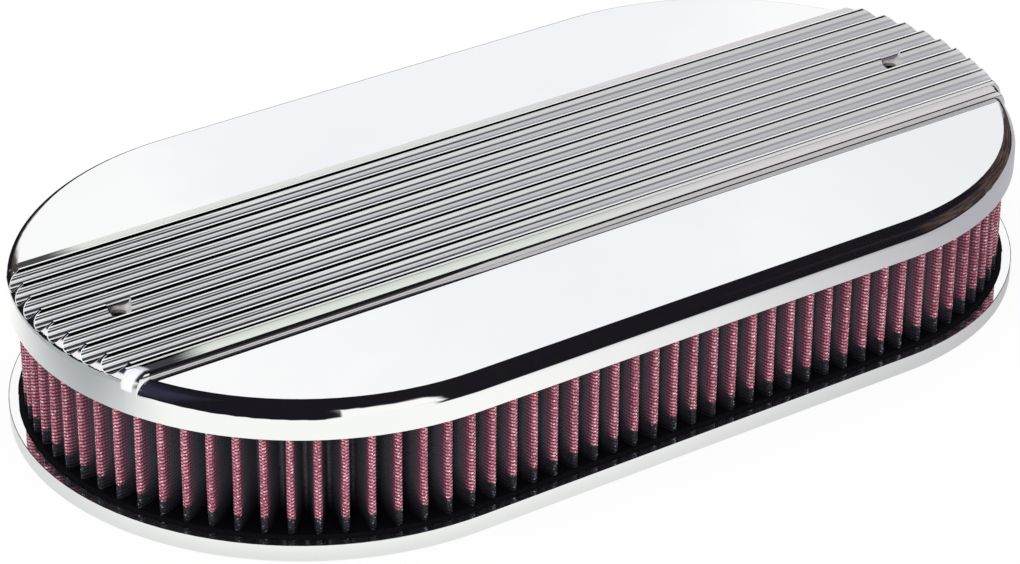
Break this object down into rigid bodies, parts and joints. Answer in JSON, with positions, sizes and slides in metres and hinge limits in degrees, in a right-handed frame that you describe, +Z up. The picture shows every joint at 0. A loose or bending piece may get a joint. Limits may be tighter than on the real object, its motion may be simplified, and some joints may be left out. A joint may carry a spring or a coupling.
{
  "type": "carburetor air cleaner",
  "caption": "Oval carburetor air cleaner: cast polished lid with a ribbed middle section over a pleated gauze filter, on a cast base with a round neck.",
  "frame": {"origin": "middle of the surface that the base stands on", "axes": "+Z up out of the lid, +X along the oval, +Y across it; the picture looks from the -X -Y corner"},
  "size_m": [0.3984, 0.2132, 0.063],
  "materials": {
    "polished_alloy": "mirror polished",
    "polished_base": "polished outside, as cast inside",
    "gauze": "oiled pleated gauze",
    "seal": "moulded",
    "post_alloy": "turned",
    "screw_steel": "plated"
  },
  "bodies": {
    "root": {"lid": "polished_alloy", "base_plate": "polished_base", "filter_media": "gauze", "filter_bottom_seal": "seal", "filter_top_seal": "seal", "lid_posts": "post_alloy", "post_screws": "screw_steel"}
  },
  "joints": []
}
